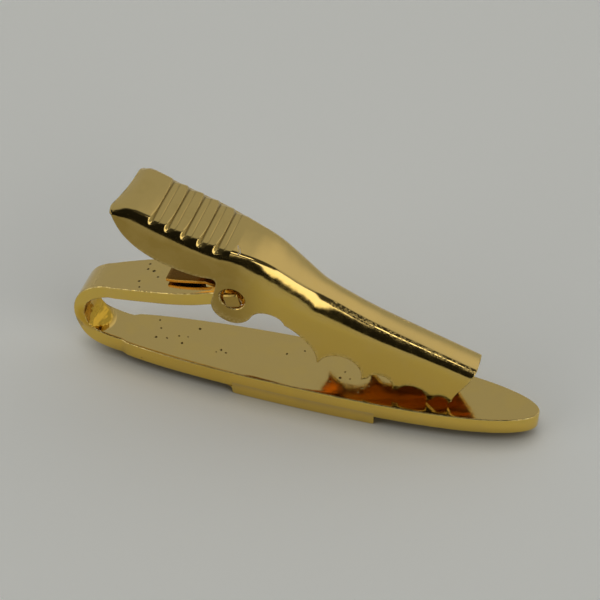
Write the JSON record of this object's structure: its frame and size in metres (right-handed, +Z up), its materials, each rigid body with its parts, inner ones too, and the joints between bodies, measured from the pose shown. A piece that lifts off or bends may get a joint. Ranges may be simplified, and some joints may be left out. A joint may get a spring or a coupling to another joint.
{
  "type": "alligator hair clip",
  "caption": "Spring-loaded metal alligator clip: a folded boat-shaped strip and a toothed lever with a ribbed thumb grip, hinged on a pin.",
  "frame": {"origin": "centre of the overall box in plan, at the level of the front panel's outer face, which the clip rests on", "axes": "+X along the clip towards the plate's rounded tip, +Y across it, +Z up from the front panel to the lever"},
  "size_m": [0.038, 0.006, 0.0175],
  "materials": {
    "strip_gold": "polished gold plate",
    "panel_gold": "polished gold plate",
    "lever_gold": "polished gold plate",
    "pin_gold": "gold plate, staked ends",
    "spring_bronze": "polished bronze strip"
  },
  "bodies": {
    "base": {"base_strip": "strip_gold", "front_panel": "panel_gold", "hinge_pin": "pin_gold", "leaf_spring": "spring_bronze"},
    "lever": {"jaw_lever": "lever_gold"}
  },
  "joints": [
    {"name": "jaw_hinge", "type": "hinge", "parent": "base", "child": "lever", "pos_m": [-0.00475, 0, 0.0105], "axis": [0, -1, 0], "range_deg": [0, 25], "stiffness_Nm_per_rad": 0.02, "springref_deg": -28.65, "deforming": ["leaf_spring"]}
  ]
}
